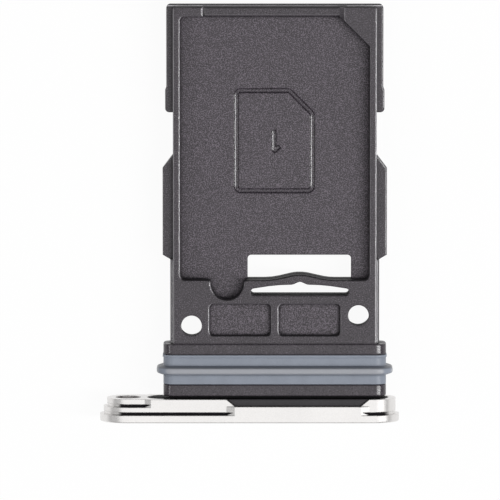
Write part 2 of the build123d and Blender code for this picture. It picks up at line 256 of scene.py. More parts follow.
class CarrierSettings(bpy.types.PropertyGroup):
    """Sizes and colours of the moulded carrier and the signs in its pockets."""

    plastic_dark: bpy.props.FloatVectorProperty(
        name="Plastic, dark grains", description="Colour of the lower grains of the moulded surface",
        subtype="COLOR", size=3, default=(0.02, 0.0158, 0.0205))
    plastic_light: bpy.props.FloatVectorProperty(
        name="Plastic, light grains", description="Colour of the raised grains of the moulded surface",
        subtype="COLOR", size=3, default=(0.136, 0.115, 0.14))
    grain_size: bpy.props.FloatProperty(
        name="Grain size", description="Width of one grain of the spark-eroded floors",
        unit="LENGTH", default=0.05 * MM)
    grain_height: bpy.props.FloatProperty(
        name="Grain height", description="Height of the grains on the floors",
        unit="LENGTH", default=0.005 * MM)
    floor_roughness: bpy.props.FloatProperty(
        name="Floor roughness", description="Roughness of the grained floors",
        subtype="FACTOR", default=0.55)
    rail_roughness: bpy.props.FloatProperty(
        name="Rail roughness", description="Roughness of the smoother rails and deck",
        subtype="FACTOR", default=0.3)
    # Painted highlight on the rails' and the collar's edges, stronger on edges that face right
    edge_highlight_colour: bpy.props.FloatVectorProperty(
        name="Edges", description="Colour of the rubbed edges", subtype="COLOR", size=3,
        default=(0.17, 0.16, 0.174))
    # Painted highlight: the light line along the lip at the far end
    far_highlight_colour: bpy.props.FloatVectorProperty(
        name="Far edges", description="Colour of the edges at the far end, rubbed by the phone's guides",
        subtype="COLOR", size=3, default=(0.6, 0.585, 0.615))
    # Painted highlight on the upper half of the edges that face right
    crest_highlight_colour: bpy.props.FloatVectorProperty(
        name="Crests", description="Colour of the upper half of the edges that face right",
        subtype="COLOR", size=3, default=(0.27, 0.255, 0.275))
    edge_roughness: bpy.props.FloatProperty(
        name="Edge roughness", description="Roughness of the rubbed edges", subtype="FACTOR", default=0.12)
    edge_round: bpy.props.FloatProperty(
        name="Edge rounding", description="How far the shading of an edge is rounded off",
        unit="LENGTH", default=0.1 * MM)
    shade_reach: bpy.props.FloatProperty(
        name="Shade reach", description="How far inner corners darken the floor beside them",
        unit="LENGTH", default=0.2 * MM)
    shade_colour: bpy.props.FloatVectorProperty(
        name="Shade", description="Colour deep in the inner corners", subtype="COLOR", size=3,
        default=(0.004, 0.004, 0.005))
    grain_contrast: bpy.props.FloatProperty(
        name="Grain contrast", description="How far the grains differ in tone", default=3.8)
    glint_contrast: bpy.props.FloatProperty(
        name="Glint contrast", description="How far the brightest grains stand out", default=1.4)
    cloud_contrast: bpy.props.FloatProperty(
        name="Cloud contrast", description="How far broad patches differ in tone", default=0.2)
    sign_width: bpy.props.FloatProperty(
        name="Sign width", description="Width of the card sign at the middle of its line",
        unit="LENGTH", default=3.565 * MM)
    sign_length: bpy.props.FloatProperty(
        name="Sign length", description="Length of the card sign at the middle of its line",
        unit="LENGTH", default=4.705 * MM)
    sign_cut: bpy.props.FloatProperty(
        name="Sign cut corner", description="Cut corner of the card sign",
        unit="LENGTH", default=1.08 * MM)
    sign_radius: bpy.props.FloatProperty(
        name="Sign radius", description="Corner radius of the card sign",
        unit="LENGTH", default=0.2 * MM)
    sign_middle: bpy.props.FloatVectorProperty(
        name="Sign middle",
        description="Middle of the card sign, from the tray's centre line and the cap's face",
        unit="LENGTH", size=2, default=(-0.02 * MM, 13.19 * MM))
    line_width: bpy.props.FloatProperty(
        name="Line width", description="Width of the sign's groove at the pocket floor",
        unit="LENGTH", default=0.235 * MM)
    line_floor: bpy.props.FloatProperty(
        name="Line floor", description="Width of the sign's groove at its own floor",
        unit="LENGTH", default=0.14 * MM)
    line_shoulder: bpy.props.FloatProperty(
        name="Line shoulder", description="Rounding where the groove leaves the pocket floor",
        unit="LENGTH", default=0.05 * MM)
    sign_depth: bpy.props.FloatProperty(
        name="Sign depth", description="Depth of the sign below the pocket floor",
        unit="LENGTH", default=0.1 * MM)
    digit_height: bpy.props.FloatProperty(
        name="Digit height", description="Height of the pocket's number",
        unit="LENGTH", default=1.0 * MM)
    digit_stroke: bpy.props.FloatProperty(
        name="Digit stroke", description="Stroke of the pocket's number, as a share of the sign's line",
        subtype="FACTOR", default=1.0)


class SealSettings(bpy.types.PropertyGroup):
    """Section and colour of the silicone seal."""

    colour: bpy.props.FloatVectorProperty(
        name="Silicone", description="Colour of the seal", subtype="COLOR", size=3,
        default=(0.235, 0.26, 0.31))
    # Painted sheen on the bead's tip
    painted_sheen_colour: bpy.props.FloatVectorProperty(
        name="Rubbed silicone", description="Colour of the bead where it rubs", subtype="COLOR", size=3,
        default=(0.32, 0.33, 0.36))
    wall: bpy.props.FloatProperty(
        name="Wall", description="Thickness of the band", unit="LENGTH", default=0.29 * MM)
    corner_radius: bpy.props.FloatProperty(
        name="Corner radius", description="Radius of the band's outer corners",
        unit="LENGTH", default=0.5 * MM)
    bead_height: bpy.props.FloatProperty(
        name="Bead height", description="Height of the bead above the band",
        unit="LENGTH", default=0.315 * MM)
    bead_root: bpy.props.FloatProperty(
        name="Bead root", description="Width of the bead where it leaves the band",
        unit="LENGTH", default=0.46 * MM)
    bead_tip: bpy.props.FloatProperty(
        name="Bead tip", description="Width of the bead at its tip, before rounding",
        unit="LENGTH", default=0.24 * MM)
    tip_radius: bpy.props.FloatProperty(
        name="Tip radius", description="Rounding of the bead's tip", unit="LENGTH", default=0.1 * MM)
    root_radius: bpy.props.FloatProperty(
        name="Root radius", description="Rounding where the bead leaves the band",
        unit="LENGTH", default=0.03 * MM)
    bead_offset: bpy.props.FloatProperty(
        name="Bead offset", description="Shift of the bead from the middle of the band",
        unit="LENGTH", default=-0.04 * MM)
    lip_height: bpy.props.FloatProperty(
        name="Lip height", description="Height of the small lip along the band's far edge",
        unit="LENGTH", default=0.035 * MM)
    lip_width: bpy.props.FloatProperty(
        name="Lip width", description="Width of the small lip", unit="LENGTH", default=0.14 * MM)
    edge_radius: bpy.props.FloatProperty(
        name="Edge radius", description="Rounding of the band's edges", unit="LENGTH", default=0.03 * MM)
    shade_reach: bpy.props.FloatProperty(
        name="Shade reach", description="How far the bead's roots darken the band beside them",
        unit="LENGTH", default=0.18 * MM)
    shade_colour: bpy.props.FloatVectorProperty(
        name="Shade", description="Colour deep in the bead's roots", subtype="COLOR", size=3,
        default=(0.02, 0.022, 0.028))
    mottle: bpy.props.FloatProperty(
        name="Mottle", description="How far the silicone's tone strays", subtype="FACTOR", default=0.07)
    cloud_size: bpy.props.FloatProperty(
        name="Cloud size", description="Width of the silicone's cloudy patches",
        unit="LENGTH", default=0.9 * MM)
    skin_size: bpy.props.FloatProperty(
        name="Skin size", description="Width of the grains of the silicone's skin",
        unit="LENGTH", default=0.05 * MM)
    skin_height: bpy.props.FloatProperty(
        name="Skin height", description="Height of the grains of the silicone's skin",
        unit="LENGTH", default=0.003 * MM)
    roughness: bpy.props.FloatProperty(
        name="Roughness", description="Roughness of the silicone", subtype="FACTOR", default=0.42)


class CapSettings(bpy.types.PropertyGroup):
    """Finish of the machined end cap."""

    metal: bpy.props.FloatVectorProperty(
        name="Metal", description="Colour of the blasted aluminium", subtype="COLOR", size=3,
        default=(0.82, 0.804, 0.793))
    # Painted shade in the relief grooves and on the flange's wall
    groove: bpy.props.FloatVectorProperty(
        name="Groove", description="Colour deep in the relief grooves", subtype="COLOR", size=3,
        default=(0.035, 0.032, 0.036))
    grain_size: bpy.props.FloatProperty(
        name="Blast grain", description="Width of one grain of the blasted finish",
        unit="LENGTH", default=0.045 * MM)
    grain_height: bpy.props.FloatProperty(
        name="Blast height", description="Height of the grains of the blasted finish",
        unit="LENGTH", default=0.0012 * MM)
    roughness: bpy.props.FloatProperty(
        name="Roughness", description="Roughness of the blasted finish", subtype="FACTOR", default=0.3)
    mottle: bpy.props.FloatProperty(
        name="Mottle", description="How far the darkest grains fall below the metal's colour",
        subtype="FACTOR", default=0.1)
    edge_round: bpy.props.FloatProperty(
        name="Edge rounding", description="How far the shading of an edge is rounded off",
        unit="LENGTH", default=0.04 * MM)


class StageSettings(bpy.types.PropertyGroup):
    """Floor, lights and camera."""

    floor_colour: bpy.props.FloatVectorProperty(
        name="Floor", description="Colour of the floor", subtype="COLOR", size=3, default=(0.9, 0.9, 0.9))
    floor_glow: bpy.props.FloatProperty(
        name="Floor white", description="Share of plain white in the floor as the camera sees it",
        subtype="FACTOR", default=0.94)
    floor_size: bpy.props.FloatProperty(
        name="Floor size", description="Side of the square floor", unit="LENGTH", default=6.0)
    sky_top: bpy.props.FloatProperty(
        name="Light from above", description="Strength of the soft light overhead", default=0.25)
    sky_side: bpy.props.FloatProperty(
        name="Light from the sides", description="Strength of the soft light at the horizon", default=0.6)
    view_width: bpy.props.FloatProperty(
        name="View width", description="Width that the picture covers at the tray",
        unit="LENGTH", default=23.474 * MM)
    view_middle: bpy.props.FloatVectorProperty(
        name="View middle", description="Where the camera aims, across and along the tray",
        unit="LENGTH", size=2, default=(0.02 * MM, 8.04 * MM))
    camera_distance: bpy.props.FloatProperty(
        name="Camera distance", description="Distance from the camera to the tray",
        unit="LENGTH", default=281.2 * MM)
    camera_tilt: bpy.props.FloatProperty(
        name="Camera tilt", description="Lean of the camera past straight down, towards the far end",
        unit="ROTATION", default=math.radians(5.2))


class Shade:
    """A socket of a material's node tree that works in Python expressions."""

    def __init__(self, tree, socket):
        self.tree = tree
        self.socket = socket

    def add(self, kind, settings=None, inputs=None, output=None):
        """Adds a node: first its settings, then the values or links of its sockets."""
        node = self.tree.nodes.new(kind)
        for name, value in (settings or {}).items():
            setattr(node, name, value)
        for name, value in (inputs or {}).items():
            socket = pick_socket(node.inputs, name)
            if isinstance(value, Shade):
                self.tree.links.new(value.socket, socket)
            else:
                socket.default_value = value
        chosen = pick_socket(node.outputs, output) if output else node.outputs[0]
        return Shade(self.tree, chosen)

    def math(self, operation, first, second=0.0):
        return self.add("ShaderNodeMath", {"operation": operation}, {"Value": first, "Value_001": second})

    def __add__(self, other):
        return self.math("ADD", self, other)

    def __radd__(self, other):
        return self.math("ADD", other, self)

    def __sub__(self, other):
        return self.math("SUBTRACT", self, other)

    def __rsub__(self, other):
        return self.math("SUBTRACT", other, self)

    def __mul__(self, other):
        return self.math("MULTIPLY", self, other)

    def __rmul__(self, other):
        return self.math("MULTIPLY", other, self)

    def __abs__(self):
        return self.math("ABSOLUTE", self)

    def ramp(self, start, end):
        """A smooth step from 0 at start to 1 at end."""
        return self.add(
            "ShaderNodeMapRange", {"interpolation_type": "SMOOTHSTEP"},
            {"Value": self, "From Min": start, "From Max": end, "To Min": 0.0, "To Max": 1.0})

    def band(self, low, high, soft):
        """1 between low and high, fading to 0 over soft outside them."""
        return self.ramp(low - soft, low) * (1 - self.ramp(high, high + soft))

    def blend(self, first, second):
        """Mixes two colours by this value."""
        return self.add(
            "ShaderNodeMix", {"data_type": "RGBA"},
            {"Factor_Float": self, "A_Color": first, "B_Color": second}, "Result_Color")

    def noise(self, size, detail=2.0, roughness=0.5):
        """Noise on this vector, with grains of that size."""
        return self.add(
            "ShaderNodeTexNoise", {},
            {"Vector": self, "Scale": 1 / size, "Detail": detail, "Roughness": roughness}, "Fac")

    def part(self, axis):
        """One component of this vector."""
        return self.add("ShaderNodeSeparateXYZ", {}, {"Vector": self}, axis)


def pick_socket(sockets, name):
    """The socket with that identifier, or else that name."""
    for socket in sockets:
        if socket.identifier == name:
            return socket
    return sockets[name]


def opaque(colour):
    return (*colour, 1.0)


def new_material(name):
    """A material with an empty tree, and the surface's place in millimetres."""
    material = bpy.data.materials.new(name)
    material.use_nodes = True
    tree = material.node_tree
    tree.nodes.clear()
    coordinates = tree.nodes.new("ShaderNodeTexCoord")
    place = Shade(tree, coordinates.outputs["Object"])
    place = place.add(
        "ShaderNodeVectorMath", {"operation": "SCALE"}, {"Vector": place, "Scale": MM_PER_METRE})
    return material, place


def set_surface(shader):
    """Ends a tree in its Material Output."""
    output = shader.tree.nodes.new("ShaderNodeOutputMaterial")
    shader.tree.links.new(shader.socket, output.inputs["Surface"])


def largest(*values):
    """The largest of several values."""
    result = values[0]
    for value in values[1:]:
        result = result.math("MAXIMUM", result, value)
    return result


def face_normal(place):
    """The way that a face looks, before any smoothing."""
    return place.add("ShaderNodeNewGeometry", {}, {}, "True Normal")


def bumps(height, distance, edge_round):
    """Surface normal of a height from 0 to 1, that high in metres, with edges rounded off."""
    rounded = height.add("ShaderNodeBevel", {"samples": BEVEL_SAMPLES}, {"Radius": edge_round})
    return height.add(
        "ShaderNodeBump", {},
        {"Height": height, "Distance": distance, "Strength": 1.0, "Normal": rounded}, "Normal")


def corner_shade(place, reach):
    """1 deep in an inner corner, fading to 0 at that distance from it."""
    open_sky = place.add(
        "ShaderNodeAmbientOcclusion", {"only_local": True, "samples": CORNER_SAMPLES},
        {"Distance": reach}, "AO")
    return 1 - open_sky.ramp(*CORNER_SKY)


class CarrierZones:
    """Zones of the carrier's finish, each 1 inside and 0 outside, from places in millimetres."""

    def __init__(self, place):
        self.level = abs(place.part("Z"))
        self.along = place.part("Y")
        self.across = abs(place.part("X") - centre_line / MM)
        normal = face_normal(place)
        steep = abs(normal.part("Z"))
        self.right = normal.part("X").ramp(*TURNED)
        self.away = normal.part("Y").ramp(*TURNED)
        self.upright = 1 - steep.ramp(*TURNED)
        self.floor = pocket_floor / MM
        raised = self.level.ramp(self.floor + SOFT, self.floor + 2 * SOFT)
        self.edge = steep.band(*CHAMFER, CHAMFER_FADE) * raised
        self.frame = self.along.ramp(NECK_END, NECK_END + SOFT)
        self.grained = self.grained_floors()
        self.lip_highlight = self.painted_lip_highlight()

    def grained_floors(self):
        """The floors of the pockets and of the deck's recesses."""
        on_deck = 1 - self.along.ramp(RECESS_END, RECESS_END + BROAD)
        recess = self.level.band(RECESS_LEVEL - CLOSE, RECESS_LEVEL + CLOSE, CLOSE) * on_deck
        return (1 - self.level.ramp(self.floor + SOFT, self.floor + 3 * SOFT)) + recess

    def painted_lip_highlight(self):
        """The painted highlight line along the lip at the far end."""
        start, end = LIP_HIGHLIGHT
        on_lip = self.level.band(LIP_LEVEL - 2 * SOFT, LIP_LEVEL + SOFT, CRISP)
        return self.along.band(FRAME_END + start, FRAME_END + end, HAIR) * on_lip

    def sunk_lines(self, carrier):
        """The grooves of the card sign and its number."""
        half_width = (carrier.sign_width / 2 + carrier.line_width) / MM
        half_length = (carrier.sign_length / 2 + carrier.line_width) / MM
        off_middle = abs(self.along - carrier.sign_middle[1] / MM)
        beside = 1 - self.across.ramp(half_width, half_width + SOFT)
        area = beside * (1 - off_middle.ramp(half_length, half_length + SOFT))
        deep, shallow = SUNK
        return area * (1 - self.level.ramp(self.floor - deep, self.floor - shallow))

    def pocket(self):
        """Between the rails, from the neck to the posts."""
        between = 1 - self.across.ramp(INNER_HALF_WIDTH, INNER_HALF_WIDTH + CLOSE)
        begun = self.along.ramp(NECK_END + 2 * SOFT, NECK_END + 3 * SOFT)
        ended = self.along.ramp(FRAME_END - BROAD, FRAME_END - BROAD + SOFT)
        return between * begun * (1 - ended)

    def foot(self):
        """Painted shade on the foot in the cap, less towards its top."""
        lightened = 1 - self.level.ramp(FOOT_TOP, FOOT_TOP + 2 * SOFT) * FOOT_LIGHT
        return (1 - self.along.ramp(FOOT_END, FOOT_END + CRISP)) * lightened

    def far_shade(self):
        """Painted shade on both sides of the far end's painted highlight line, and on the outer wall."""
        start, end = LEDGE_SHADE_LINE
        below_ledge = self.level.band(LIP_LEVEL + SOFT, LEDGE_LEVEL + CRISP, CRISP)
        ledge_edge = self.along.band(FRAME_END + start, FRAME_END + end, CRISP) * below_ledge
        line_end = FRAME_END + LIP_HIGHLIGHT[1] + HAIR
        lip_edge = self.along.ramp(line_end, line_end + HAIR)
        wall_start = FRAME_END - SOFT
        outer_wall = self.upright * self.along.ramp(wall_start, wall_start + CRISP)
        return largest(ledge_edge * WALL_SHADE, largest(lip_edge, outer_wall) * FAR_SHADE)


def speckle(carrier, zones, grain, glint, cloud):
    """Colour of light and dark grains, strongest on the grained floors."""
    amount = NECK_SPECKLE + zones.frame * FRAME_SPECKLE + zones.grained * FLOOR_SPECKLE
    grains = (grain - HALF) * carrier.grain_contrast + glint * carrier.glint_contrast
    middle = NECK_TONE + zones.grained * (FLOOR_TONE - NECK_TONE)
    middle = middle + zones.frame * (1 - zones.grained) * (FRAME_TONE - NECK_TONE)
    tone = grains * amount + (cloud - HALF) * carrier.cloud_contrast + middle
    return tone.ramp(0.0, 1.0).blend(opaque(carrier.plastic_dark), opaque(carrier.plastic_light))


def painted_edge_highlights(carrier, zones, colour):
    """The colour with painted highlights on its edges: the rails', the collar's and the far end's."""
    edge_highlight_colour = opaque(carrier.edge_highlight_colour)
    crest = zones.level.ramp(CREST_LEVEL - CRISP, CREST_LEVEL + CRISP)
    rim_highlight = zones.edge * zones.frame * zones.level.ramp(RIM_LEVEL, RIM_LEVEL + SOFT) * (1 - zones.away)
    lit = largest(zones.right, zones.across.ramp(RAIL_HALF_WIDTH, RAIL_HALF_WIDTH + SOFT))
    strength = (FAINT + lit * (1 - FAINT)) * (1 - zones.right * (1 - crest) * LOWER_EDGE_LOSS)
    colour = (rim_highlight * strength).blend(colour, edge_highlight_colour)
    colour = (rim_highlight * zones.right * crest).blend(colour, opaque(carrier.crest_highlight_colour))
    collar = zones.edge * zones.along.band(*COLLAR_EDGE, CRISP)
    colour = (collar * COLLAR_HIGHLIGHT).blend(colour, edge_highlight_colour)
    on_post = zones.across.ramp(POST_HALF_WIDTH, POST_HALF_WIDTH + 2 * CLOSE)
    far_highlight = zones.lip_highlight * (FAINT + on_post * (1 - FAINT))
    return far_highlight.blend(colour, opaque(carrier.far_highlight_colour))


def carrier_shade(carrier, zones, place):
    """Painted shade in corners, on walls, on the foot and at the far end, which keeps off the far end's
    painted highlight line.
    """
    off_line = 1 - zones.lip_highlight
    wall = zones.upright * zones.pocket() * WALL_SHADE
    strength = NECK_SHADE + zones.frame * (CORNER_SHADE - NECK_SHADE)
    corner = corner_shade(place, carrier.shade_reach) * strength * off_line
    far_edges = zones.edge * zones.away * zones.frame * EDGE_SHADE * off_line
    return largest(wall, zones.foot(), corner, zones.far_shade(), far_edges)


def moulded_plastic(carrier):
    """Dark plastic: speckled grain on the pocket and recess floors, smoother elsewhere."""
    material, place = new_material("moulded_plastic")
    zones = CarrierZones(place)
    size = carrier.grain_size / MM
    grain = place.noise(size, roughness=GRAIN_FINENESS)
    glint = place.noise(size * GLINT_SIZE, detail=0.0).ramp(*GLINT_RANGE)
    cloud = place.noise(size * PLASTIC_CLOUD)

    # Painted highlights on the edges, and painted shade in corners, on walls and on the foot, go into the
    # colour
    colour = painted_edge_highlights(carrier, zones, speckle(carrier, zones, grain, glint, cloud))
    shade = carrier_shade(carrier, zones, place)
    colour = shade.blend(colour, opaque(carrier.shade_colour))

    glossy_edge = zones.edge * (NECK_GLOSS + zones.frame * (1 - NECK_GLOSS))
    smooth = largest(zones.sunk_lines(carrier), glossy_edge)
    roughness = carrier.rail_roughness + zones.grained * (carrier.floor_roughness - carrier.rail_roughness)
    roughness = roughness + (grain - HALF) * PLASTIC_GRAIN_ROUGHNESS + shade * SHADE_ROUGHNESS
    roughness = roughness * (1 - smooth) + smooth * carrier.edge_roughness
    bumpy = (grain + glint * GLINT_HEIGHT) * (SMOOTH_GRAIN + zones.grained * (1 - SMOOTH_GRAIN))
    normal = bumps(bumpy * (1 - smooth), carrier.grain_height, carrier.edge_round)
    set_surface(place.add(
        "ShaderNodeBsdfPrincipled", {},
        {"Base Color": colour, "Roughness": roughness, "Normal": normal, "IOR": PLASTIC_IOR}))
    return material


def silicone(seal):
    """Blue-grey silicone with a faint cloudiness, a painted sheen on the bead's tip and painted shade in its
    roots.
    """
    material, place = new_material("silicone")
    cloud = place.noise(seal.cloud_size / MM, detail=3.0)
    skin = place.noise(seal.skin_size / MM, detail=1.0)
    dull = tuple(channel * (1 - seal.mottle) for channel in seal.colour)
    bright = tuple(channel * (1 + seal.mottle) for channel in seal.colour)
    mottled = (cloud * CLOUD_SHARE + skin * (1 - CLOUD_SHARE)).ramp(*MOTTLE_RANGE)
    colour = mottled.blend(opaque(dull), opaque(bright))

    half_width = (seal_high.x - seal_low.x) / 2 / MM
    half_height = (seal_high.z - seal_low.z) / 2 / MM
    across = abs(place.part("X") - centre_line / MM) - half_width
    up = abs(place.part("Z")) - half_height
    # Painted sheen: paler towards the bead's tip
    near_tip = largest(across, up).ramp(-SHEEN_DEPTH, 2 * SOFT - SHEEN_DEPTH)
    rubbed = near_tip * (1 + (cloud - HALF) * SHEEN_SPREAD)
    colour = rubbed.blend(colour, opaque(seal.painted_sheen_colour))

    # Painted shade in the bead's roots and on its wall that faces the far end
    bead_end = seal_middle / MM + BEAD_END
    on_bead = 1 - place.part("Y").ramp(bead_end, bead_end + SOFT)
    wall = face_normal(place).part("Y").ramp(*BEAD_WALL) * on_bead
    shade = largest(corner_shade(place, seal.shade_reach) * BEAD_CORNER_SHADE, wall * BEAD_WALL_SHADE)
    colour = shade.blend(colour, opaque(seal.shade_colour))

    roughness = seal.roughness + (skin - HALF) * SKIN_ROUGHNESS - rubbed * TIP_POLISH
    normal = bumps(skin, seal.skin_height, seal.edge_radius)
    set_surface(place.add(
        "ShaderNodeBsdfPrincipled", {},
        {"Base Color": colour, "Roughness": roughness, "Normal": normal, "IOR": SILICONE_IOR}))
    return material


def cap_groove_shade(place, depth, span, top, fade):
    """1 where a groove of the cap gets painted shade, from its start and end, its left and right end and the
    height it reaches.
    """
    inside = place.part("Y").band(*depth, HAIR) * place.part("X").band(*span, fade)
    return inside * (1 - abs(place.part("Z")).ramp(top, top + CRISP))


def blasted_aluminium(cap):
    """Pale blasted metal with fine grain, with painted shade in the relief grooves of its two long sides."""
    material, place = new_material("blasted_aluminium")
    size = cap.grain_size / MM
    grain = place.noise(size, roughness=GRAIN_FINENESS)
    cloud = place.noise(size * METAL_CLOUD)
    low = tuple(channel * (1 - cap.mottle) for channel in cap.metal)
    tone = (grain - HALF) * METAL_GRAIN_CONTRAST + (cloud - HALF) * METAL_CLOUD_CONTRAST + HALF
    colour = tone.ramp(0.0, 1.0).blend(opaque(low), opaque(cap.metal))

    # Painted shade in the relief grooves and on the flange's wall
    groove = largest(
        cap_groove_shade(place, LOWER_GROOVE, LOWER_GROOVE_SPAN, LOWER_GROOVE_TOP, WIDE),
        cap_groove_shade(place, UPPER_GROOVE, UPPER_GROOVE_SPAN, UPPER_GROOVE_TOP, BROAD),
        cap_groove_shade(place, FLANGE_WALL, FLANGE_LEFT_SPAN, FLANGE_TOP, 2 * SOFT),
        cap_groove_shade(place, FLANGE_WALL, FLANGE_RIGHT_SPAN, FLANGE_TOP, 2 * SOFT))
    colour = groove.blend(colour, opaque(cap.groove))

    roughness = cap.roughness + (grain - HALF) * METAL_GRAIN_ROUGHNESS + groove * GROOVE_ROUGHNESS
    normal = bumps(grain, cap.grain_height, cap.edge_round)
    set_surface(place.add(
        "ShaderNodeBsdfPrincipled", {},
        {"Base Color": colour, "Metallic": 1.0, "Roughness": roughness, "Normal": normal}))
    return material


def new_tree(name, inputs):
    """A Geometry Nodes tree with those named inputs and a geometry output."""
    tree = bpy.data.node_groups.new(name, "GeometryNodeTree")
    for label, kind in inputs.items():
        tree.interface.new_socket(name=label, in_out="INPUT", socket_type=kind)
    tree.interface.new_socket(name="Geometry", in_out="OUTPUT", socket_type="NodeSocketGeometry")
    return tree


def add_node(tree, kind, settings=None, inputs=None):
    """Adds a node to a Geometry Nodes tree: settings first, then values or links."""
    node = tree.nodes.new(kind)
    for name, value in (settings or {}).items():
        setattr(node, name, value)
    for name, value in (inputs or {}).items():
        socket = pick_socket(node.inputs, name)
        if isinstance(value, bpy.types.NodeSocket):
            tree.links.new(value, socket)
        else:
            socket.default_value = value
    return node


def end_tree(tree, geometry, material):
    """Ends a tree in Realize Instances and Set Material."""
    real = add_node(tree, "GeometryNodeRealizeInstances", {}, {"Geometry": geometry})
    dressed = add_node(
        tree, "GeometryNodeSetMaterial", {},
        {"Geometry": real.outputs["Geometry"], "Material": material})
    add_node(tree, "NodeGroupOutput", {}, {"Geometry": dressed.outputs["Geometry"]})


def run_tree(tree, values):
    """Runs a tree with those inputs and returns its result as a plain mesh."""
    holder = bpy.data.objects.new(tree.name, bpy.data.meshes.new(tree.name))
    bpy.context.scene.collection.objects.link(holder)
    modifier = holder.modifiers.new(tree.name, "NODES")
    modifier.node_group = tree
    for item in tree.interface.items_tree:
        if item.in_out == "INPUT":
            modifier[item.identifier] = values[item.name]
    mesh = evaluated_mesh(holder)
    bpy.data.objects.remove(holder)
    return mesh


def evaluated_mesh(holder):
    """The object's mesh with its modifiers worked in."""
    depsgraph = bpy.context.evaluated_depsgraph_get()
    mesh = bpy.data.meshes.new_from_object(holder.evaluated_get(depsgraph), depsgraph=depsgraph)
    if not mesh.polygons:
        raise RuntimeError(f"{holder.name} came out empty")
    return mesh


def line_object(name, points, closed):
    """A poly curve through points of x, y and corner radius, as an input for a tree."""
    curve = bpy.data.curves.new(name, "CURVE")
    curve.dimensions = "3D"
    spline = curve.splines.new("POLY")
    spline.points.add(len(points) - 1)
    for target, (x, y, radius) in zip(spline.points, points):
        target.co = (x, y, 0.0, 1.0)
        target.radius = radius
    spline.use_cyclic_u = closed
    line = bpy.data.objects.new(name, curve)
    bpy.context.scene.collection.objects.link(line)
    return line


def rounded_line(tree, line, steps):
    """An input curve with every corner rounded by its point's own radius."""
    source = add_node(tree, "GeometryNodeObjectInfo", {}, {"Object": line})
    radius = add_node(tree, "GeometryNodeInputRadius")
    fillet = add_node(
        tree, "GeometryNodeFilletCurve", {"mode": "POLY"},
        {"Curve": source.outputs["Geometry"], "Count": steps, "Radius": radius.outputs["Radius"],
         "Limit Radius": True})
    return fillet.outputs["Curve"]


def sweep_path(tree, path, profile, scale):
    """Sweeps a section along a flat path, the section's X to the path's right and its Y downwards."""
    upright = add_node(tree, "GeometryNodeSetCurveNormal", {"mode": "Z_UP"}, {"Curve": path})
    sized = add_node(
        tree, "GeometryNodeSetCurveRadius", {}, {"Curve": upright.outputs["Curve"], "Radius": scale})
    return add_node(
        tree, "GeometryNodeCurveToMesh", {},
        {"Curve": sized.outputs["Curve"], "Profile Curve": profile, "Fill Caps": True})


def place_piece(mesh, name, material, node):
    """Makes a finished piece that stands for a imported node."""
    if not mesh.materials:
        mesh.materials.append(material)
    piece = bpy.data.objects.new(name, mesh)
    bpy.context.scene.collection.objects.link(piece)
    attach(piece, BODY)
    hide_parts(node)
    return piece


def clean_mesh(mesh, merge_distance):
    """Merges doubles and turns every face outwards."""
    work = bmesh.new()
    work.from_mesh(mesh)
    bmesh.ops.remove_doubles(work, verts=work.verts, dist=merge_distance)
    bmesh.ops.recalc_face_normals(work, faces=work.faces)
    work.to_mesh(mesh)
    work.free()


def join_flat_faces(mesh):
    """Joins the triangles of each flat face into one."""
    work = bmesh.new()
    work.from_mesh(mesh)
    bmesh.ops.dissolve_limit(
        work, angle_limit=FLAT_ANGLE, use_dissolve_boundaries=False,
        verts=work.verts, edges=work.edges, delimit=set())
    work.to_mesh(mesh)
    work.free()


def soften(mesh, sharp_angle):
    """Smooth shading up to an angle, with normals held by the larger faces, by square millimetres."""
    mesh.transform(Matrix.Scale(MM_PER_METRE, 4))
    mesh.shade_smooth()
    mesh.set_sharp_from_angle(angle=sharp_angle)
    holder = bpy.data.objects.new("soften", mesh)
    bpy.context.scene.collection.objects.link(holder)
    weighted = holder.modifiers.new("weighted", "WEIGHTED_NORMAL")
    weighted.keep_sharp = True
    weighted.weight = FACE_WEIGHT
    weighted.thresh = AREA_SLACK
    softened = evaluated_mesh(holder)
    bpy.data.objects.remove(holder)
    softened.transform(Matrix.Scale(MM, 4))
    return softened


def sign_outline(carrier):
    """Corners of the card sign, counter-clockwise from the lower left, in millimetres."""
    half_width = carrier.sign_width / MM / 2
    half_length = carrier.sign_length / MM / 2
    cut = carrier.sign_cut / MM
    radius = carrier.sign_radius / MM
    return [
        (-half_width, -half_length, radius),
        (half_width, -half_length, radius),
        (half_width, half_length - cut, radius),
        (half_width - cut, half_length, radius),
        (-half_width, half_length, radius),
    ]


def digit_strokes(digit, height):
    """Pen strokes of a plain number about its own middle."""
    half = height / 2
    return [(x * half, y * half, radius * half) for x, y, radius in DIGIT_STROKES[digit]]


def groove_section(carrier):
    """Section of the sign's groove, Y downwards from the pocket floor, with rounded shoulders."""
    half_mouth = carrier.line_width / MM / 2
    half_floor = carrier.line_floor / MM / 2
    shoulder = carrier.line_shoulder / MM
    depth = carrier.sign_depth / MM
    clear = GROOVE_CLEARANCE
    side = half_mouth + GROOVE_MARGIN * shoulder
    return [
        (-side, -depth, 0.0),
        (side, -depth, 0.0),
        (side, -clear, 0.0),
        (half_mouth, -clear, shoulder),
        (half_floor, depth, shoulder / 2),
        (-half_floor, depth, shoulder / 2),
        (-half_mouth, -clear, shoulder),
        (-side, -clear, 0.0),
    ]


def sign_tree():
    """Groove swept along a line, both with their corners rounded."""
    tree = new_tree("sign_groove", {
        "Line": "NodeSocketObject",
        "Section": "NodeSocketObject",
        "Stroke": "NodeSocketFloat",
        "Material": "NodeSocketMaterial",
    })
    given = add_node(tree, "NodeGroupInput").outputs
    line = rounded_line(tree, given["Line"], SIGN_STEPS)
    section = rounded_line(tree, given["Section"], GROOVE_STEPS)
    groove = sweep_path(tree, line, section, given["Stroke"])
    end_tree(tree, groove.outputs["Mesh"], given["Material"])
    return tree


